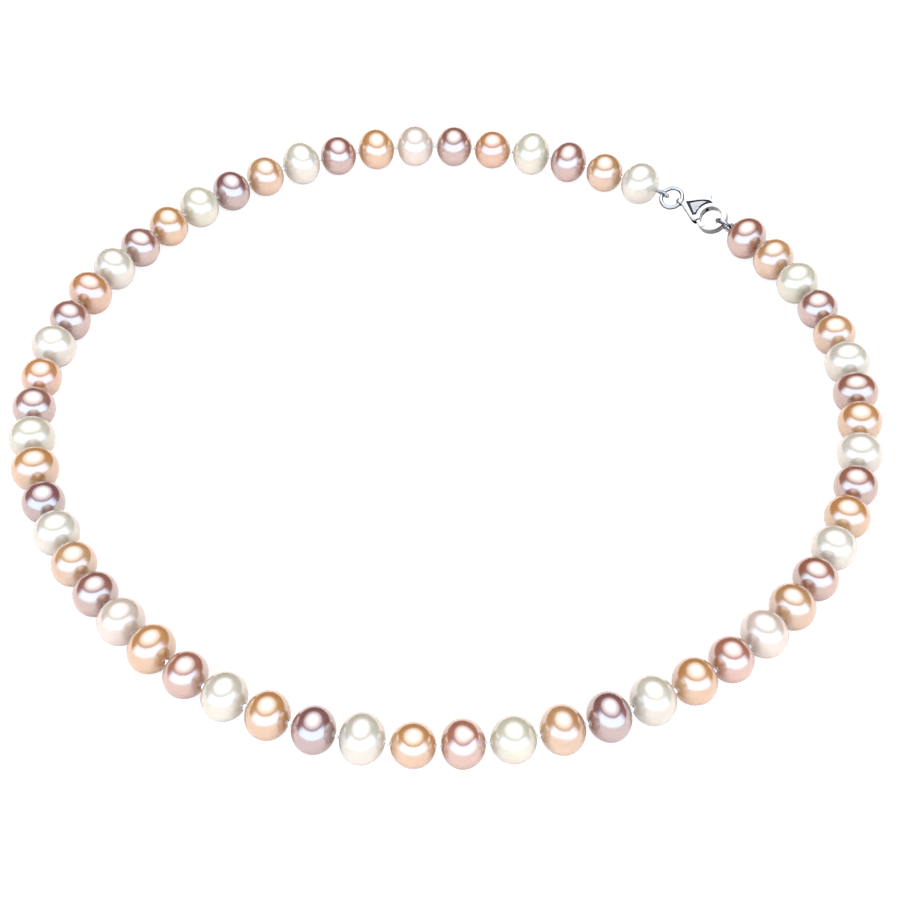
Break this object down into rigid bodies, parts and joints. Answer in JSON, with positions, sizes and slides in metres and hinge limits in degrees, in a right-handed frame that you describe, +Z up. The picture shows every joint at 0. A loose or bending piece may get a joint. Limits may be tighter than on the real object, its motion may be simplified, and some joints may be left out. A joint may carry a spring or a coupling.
{
  "type": "pearl necklace",
  "caption": "Knotted strand of off-round white, peach and mauve pearls in a repeating order, closed by a silver lobster clasp with jump ring and catch ring.",
  "frame": {"origin": "under the middle of the loop, on the plane the pearls rest on", "axes": "+Z up out of that plane; +Y across the loop's longer width, with the clasp near +X +Y; +X across the other width"},
  "size_m": [0.1494, 0.1533, 0.0083],
  "materials": {
    "pearl_white": "white freshwater nacre, lustrous",
    "pearl_peach": "peach freshwater nacre, lustrous",
    "pearl_mauve": "mauve freshwater nacre, lustrous",
    "silk": "knotted white silk",
    "silver": "polished sterling silver"
  },
  "bodies": {
    "strand_a": {"silk_a": "silk", "pearls_04_05_white_peach": "pearl_white", "pearls_10_11_white_peach": "pearl_white", "french_wire_first": "silver"},
    "strand_b": {"silk_b": "silk", "pearls_16_17_white_peach": "pearl_white", "pearls_22_23_white_peach": "pearl_white"},
    "strand_c": {"silk_c": "silk", "pearls_31_32_white_peach": "pearl_white", "pearls_37_38_white_peach": "pearl_white"},
    "strand_d": {"silk_d": "silk", "pearls_43_44_white_peach": "pearl_white", "pearls_49_50_white_peach": "pearl_white", "pearls_55_56_white_peach": "pearl_white", "french_wire_last": "silver"},
    "pearl_01_white": {"pearl_01_white": "pearl_white"},
    "pearl_02_peach": {"pearl_02_peach": "pearl_peach"},
    "pearl_03_mauve": {"pearl_03_mauve": "pearl_mauve"},
    "pearl_06_mauve": {"pearl_06_mauve": "pearl_mauve"},
    "pearl_07_white": {"pearl_07_white": "pearl_white"},
    "pearl_08_peach": {"pearl_08_peach": "pearl_peach"},
    "pearl_09_mauve": {"pearl_09_mauve": "pearl_mauve"},
    "pearl_12_mauve": {"pearl_12_mauve": "pearl_mauve"},
    "pearl_13_white": {"pearl_13_white": "pearl_white"},
    "pearl_14_peach": {"pearl_14_peach": "pearl_peach"},
    "pearl_15_mauve": {"pearl_15_mauve": "pearl_mauve"},
    "pearl_18_mauve": {"pearl_18_mauve": "pearl_mauve"},
    "pearl_19_white": {"pearl_19_white": "pearl_white"},
    "pearl_20_peach": {"pearl_20_peach": "pearl_peach"},
    "pearl_21_mauve": {"pearl_21_mauve": "pearl_mauve"},
    "pearl_24_mauve": {"pearl_24_mauve": "pearl_mauve"},
    "pearl_25_white": {"pearl_25_white": "pearl_white"},
    "pearl_26_peach": {"pearl_26_peach": "pearl_peach"},
    "pearl_27_mauve": {"pearl_27_mauve": "pearl_mauve"},
    "pearl_28_white": {"pearl_28_white": "pearl_white"},
    "pearl_29_peach": {"pearl_29_peach": "pearl_peach"},
    "pearl_30_mauve": {"pearl_30_mauve": "pearl_mauve"},
    "pearl_33_mauve": {"pearl_33_mauve": "pearl_mauve"},
    "pearl_34_white": {"pearl_34_white": "pearl_white"},
    "pearl_35_peach": {"pearl_35_peach": "pearl_peach"},
    "pearl_36_mauve": {"pearl_36_mauve": "pearl_mauve"},
    "pearl_39_mauve": {"pearl_39_mauve": "pearl_mauve"},
    "pearl_40_white": {"pearl_40_white": "pearl_white"},
    "pearl_41_peach": {"pearl_41_peach": "pearl_peach"},
    "pearl_42_mauve": {"pearl_42_mauve": "pearl_mauve"},
    "pearl_45_mauve": {"pearl_45_mauve": "pearl_mauve"},
    "pearl_46_white": {"pearl_46_white": "pearl_white"},
    "pearl_47_peach": {"pearl_47_peach": "pearl_peach"},
    "pearl_48_mauve": {"pearl_48_mauve": "pearl_mauve"},
    "pearl_51_mauve": {"pearl_51_mauve": "pearl_mauve"},
    "pearl_52_white": {"pearl_52_white": "pearl_white"},
    "pearl_53_peach": {"pearl_53_peach": "pearl_peach"},
    "pearl_54_mauve": {"pearl_54_mauve": "pearl_mauve"},
    "pearl_57_mauve": {"pearl_57_mauve": "pearl_mauve"},
    "jump_ring": {"jump_ring": "silver"},
    "claw": {"clasp_body": "silver", "clasp_pin": "silver", "clasp_spring": "silver"},
    "lever": {"clasp_lever": "silver"},
    "catch_ring": {"catch_ring": "silver"}
  },
  "joints": [
    {"name": "clasp_lever_pull", "type": "hinge", "parent": "claw", "child": "lever", "pos_m": [0.04731, 0.05309, 0.00415], "axis": [-0.3069, -0.3553, 0.8829], "range_deg": [0, 22], "stiffness_Nm_per_rad": 0.008, "springref_deg": -14.32},
    {"name": "bend_at_knot_13", "type": "hinge", "parent": "strand_b", "child": "strand_a", "pos_m": [-0.0494, 0.05137, 0.00388], "axis": [0, 0, 1], "range_deg": [-15, 15]},
    {"name": "bend_at_knot_28", "type": "hinge", "parent": "strand_b", "child": "strand_c", "pos_m": [-0.04837, -0.05183, 0.00409], "axis": [0, 0, 1], "range_deg": [-16, 16]},
    {"name": "bend_at_knot_42", "type": "hinge", "parent": "strand_c", "child": "strand_d", "pos_m": [0.04702, -0.05401, 0.00387], "axis": [0, 0, 1], "range_deg": [-16, 16]},
    {"name": "clasp_roll", "type": "hinge", "parent": "strand_a", "child": "jump_ring", "pos_m": [0.04265, 0.05671, 0.00399], "axis": [0.7568, -0.6536, 0], "range_deg": [-15, 15]},
    {"name": "claw_roll_on_ring", "type": "hinge", "parent": "jump_ring", "child": "claw", "pos_m": [0.0442, 0.05537, 0.00399], "axis": [0.7568, -0.6536, 0], "range_deg": [-8, 8]},
    {"name": "catch_ring_roll", "type": "hinge", "parent": "strand_d", "child": "catch_ring", "pos_m": [0.05186, 0.04875, 0.00399], "axis": [0.7568, -0.6536, 0], "range_deg": [-15, 15]},
    {"name": "pearl_01_spin", "type": "hinge", "parent": "strand_a", "child": "pearl_01_white", "pos_m": [0.03701, 0.06111, 0.00401], "axis": [-0.819, 0.5737, 0], "continuous": true},
    {"name": "pearl_02_spin", "type": "hinge", "parent": "strand_a", "child": "pearl_02_peach", "pos_m": [0.03038, 0.06481, 0.0037], "axis": [-0.8947, 0.4467, 0], "continuous": true},
    {"name": "pearl_03_spin", "type": "hinge", "parent": "strand_a", "child": "pearl_03_mauve", "pos_m": [0.02353, 0.06785, 0.0039], "axis": [-0.932, 0.3625, 0], "continuous": true},
    {"name": "pearl_06_spin", "type": "hinge", "parent": "strand_a", "child": "pearl_06_mauve", "pos_m": [0.0015, 0.07279, 0.00385], "axis": [-0.9984, 0.0559, 0], "continuous": true},
    {"name": "pearl_07_spin", "type": "hinge", "parent": "strand_a", "child": "pearl_07_white", "pos_m": [-0.00606, 0.07277, 0.00398], "axis": [-0.9979, -0.0645, 0], "continuous": true},
    {"name": "pearl_08_spin", "type": "hinge", "parent": "strand_a", "child": "pearl_08_peach", "pos_m": [-0.01364, 0.07181, 0.00392], "axis": [-0.982, -0.189, 0], "continuous": true},
    {"name": "pearl_09_spin", "type": "hinge", "parent": "strand_a", "child": "pearl_09_mauve", "pos_m": [-0.02094, 0.06992, 0.00381], "axis": [-0.9503, -0.3112, 0], "continuous": true},
    {"name": "pearl_12_spin", "type": "hinge", "parent": "strand_a", "child": "pearl_12_mauve", "pos_m": [-0.04089, 0.05907, 0.00382], "axis": [-0.7865, -0.6176, 0], "continuous": true},
    {"name": "pearl_13_spin", "type": "hinge", "parent": "strand_a", "child": "pearl_13_white", "pos_m": [-0.04663, 0.05407, 0.00393], "axis": [-0.7212, -0.6928, 0], "continuous": true},
    {"name": "pearl_14_spin", "type": "hinge", "parent": "strand_b", "child": "pearl_14_peach", "pos_m": [-0.05191, 0.04849, 0.00383], "axis": [-0.6537, -0.7567, 0], "continuous": true},
    {"name": "pearl_15_spin", "type": "hinge", "parent": "strand_b", "child": "pearl_15_mauve", "pos_m": [-0.0566, 0.04253, 0.00378], "axis": [-0.5835, -0.8121, 0], "continuous": true},
    {"name": "pearl_18_spin", "type": "hinge", "parent": "strand_b", "child": "pearl_18_mauve", "pos_m": [-0.06722, 0.02229, 0.00379], "axis": [-0.3243, -0.946, 0], "continuous": true},
    {"name": "pearl_19_spin", "type": "hinge", "parent": "strand_b", "child": "pearl_19_white", "pos_m": [-0.0693, 0.01494, 0.00405], "axis": [-0.2157, -0.9765, 0], "continuous": true},
    {"name": "pearl_20_spin", "type": "hinge", "parent": "strand_b", "child": "pearl_20_peach", "pos_m": [-0.07052, 0.00732, 0.00366], "axis": [-0.0983, -0.9952, 0], "continuous": true},
    {"name": "pearl_21_spin", "type": "hinge", "parent": "strand_b", "child": "pearl_21_mauve", "pos_m": [-0.07081, -0.00028, 0.00376], "axis": [0.022, -0.9998, 0], "continuous": true},
    {"name": "pearl_24_spin", "type": "hinge", "parent": "strand_b", "child": "pearl_24_mauve", "pos_m": [-0.06638, -0.02271, 0.00365], "axis": [0.3466, -0.938, 0], "continuous": true},
    {"name": "pearl_25_spin", "type": "hinge", "parent": "strand_b", "child": "pearl_25_white", "pos_m": [-0.06338, -0.02974, 0.00395], "axis": [0.4328, -0.9015, 0], "continuous": true},
    {"name": "pearl_26_spin", "type": "hinge", "parent": "strand_b", "child": "pearl_26_peach", "pos_m": [-0.05974, -0.03653, 0.00386], "axis": [0.51, -0.8602, 0], "continuous": true},
    {"name": "pearl_27_spin", "type": "hinge", "parent": "strand_b", "child": "pearl_27_mauve", "pos_m": [-0.05559, -0.04289, 0.00378], "axis": [0.5814, -0.8136, 0], "continuous": true},
    {"name": "pearl_28_spin", "type": "hinge", "parent": "strand_b", "child": "pearl_28_white", "pos_m": [-0.0509, -0.0489, 0.00409], "axis": [0.6511, -0.759, 0], "continuous": true},
    {"name": "pearl_29_spin", "type": "hinge", "parent": "strand_c", "child": "pearl_29_peach", "pos_m": [-0.04563, -0.0545, 0.00409], "axis": [0.7207, -0.6932, 0], "continuous": true},
    {"name": "pearl_30_spin", "type": "hinge", "parent": "strand_c", "child": "pearl_30_mauve", "pos_m": [-0.03991, -0.05947, 0.00377], "axis": [0.7891, -0.6142, 0], "continuous": true},
    {"name": "pearl_33_spin", "type": "hinge", "parent": "strand_c", "child": "pearl_33_mauve", "pos_m": [-0.01983, -0.07011, 0.00378], "axis": [0.9546, -0.298, 0], "continuous": true},
    {"name": "pearl_34_spin", "type": "hinge", "parent": "strand_c", "child": "pearl_34_white", "pos_m": [-0.01246, -0.07192, 0.00403], "axis": [0.9842, -0.177, 0], "continuous": true},
    {"name": "pearl_35_spin", "type": "hinge", "parent": "strand_c", "child": "pearl_35_peach", "pos_m": [-0.00486, -0.0728, 0.00356], "axis": [0.9984, -0.056, 0], "continuous": true},
    {"name": "pearl_36_spin", "type": "hinge", "parent": "strand_c", "child": "pearl_36_mauve", "pos_m": [0.00267, -0.07277, 0.00382], "axis": [0.9982, 0.0604, 0], "continuous": true},
    {"name": "pearl_39_spin", "type": "hinge", "parent": "strand_c", "child": "pearl_39_mauve", "pos_m": [0.02471, -0.06776, 0.00397], "axis": [0.9291, 0.3698, 0], "continuous": true},
    {"name": "pearl_40_spin", "type": "hinge", "parent": "strand_c", "child": "pearl_40_white", "pos_m": [0.03157, -0.06463, 0.00405], "axis": [0.8872, 0.4613, 0], "continuous": true},
    {"name": "pearl_41_spin", "type": "hinge", "parent": "strand_c", "child": "pearl_41_peach", "pos_m": [0.03812, -0.06079, 0.00386], "axis": [0.8358, 0.5491, 0], "continuous": true},
    {"name": "pearl_42_spin", "type": "hinge", "parent": "strand_c", "child": "pearl_42_mauve", "pos_m": [0.04416, -0.05636, 0.00378], "axis": [0.7746, 0.6325, 0], "continuous": true},
    {"name": "pearl_45_spin", "type": "hinge", "parent": "strand_d", "child": "pearl_45_mauve", "pos_m": [0.0591, -0.03957, 0.00371], "axis": [0.5368, 0.8437, 0], "continuous": true},
    {"name": "pearl_46_spin", "type": "hinge", "parent": "strand_d", "child": "pearl_46_white", "pos_m": [0.06278, -0.03304, 0.00384], "axis": [0.4461, 0.895, 0], "continuous": true},
    {"name": "pearl_47_spin", "type": "hinge", "parent": "strand_d", "child": "pearl_47_peach", "pos_m": [0.06581, -0.0261, 0.00379], "axis": [0.3534, 0.9355, 0], "continuous": true},
    {"name": "pearl_48_spin", "type": "hinge", "parent": "strand_d", "child": "pearl_48_mauve", "pos_m": [0.06809, -0.019, 0.00373], "axis": [0.2608, 0.9654, 0], "continuous": true},
    {"name": "pearl_51_spin", "type": "hinge", "parent": "strand_d", "child": "pearl_51_mauve", "pos_m": [0.07081, 0.00327, 0.00395], "axis": [-0.0234, 0.9997, 0], "continuous": true},
    {"name": "pearl_52_spin", "type": "hinge", "parent": "strand_d", "child": "pearl_52_white", "pos_m": [0.07026, 0.01075, 0.0041], "axis": [-0.1246, 0.9922, 0], "continuous": true},
    {"name": "pearl_53_spin", "type": "hinge", "parent": "strand_d", "child": "pearl_53_peach", "pos_m": [0.06893, 0.01819, 0.00387], "axis": [-0.2299, 0.9732, 0], "continuous": true},
    {"name": "pearl_54_spin", "type": "hinge", "parent": "strand_d", "child": "pearl_54_mauve", "pos_m": [0.06682, 0.02535, 0.00367], "axis": [-0.3367, 0.9416, 0], "continuous": true},
    {"name": "pearl_57_spin", "type": "hinge", "parent": "strand_d", "child": "pearl_57_mauve", "pos_m": [0.05576, 0.04488, 0.00397], "axis": [-0.6771, 0.7359, 0], "continuous": true}
  ],
  "couplings": [
    {"joint": "bend_at_knot_28", "follows": "bend_at_knot_13", "ratio": 1.0528},
    {"joint": "bend_at_knot_42", "follows": "bend_at_knot_13", "ratio": -1.0491},
    {"joint": "catch_ring_roll", "follows": "clasp_roll", "ratio": 1}
  ]
}
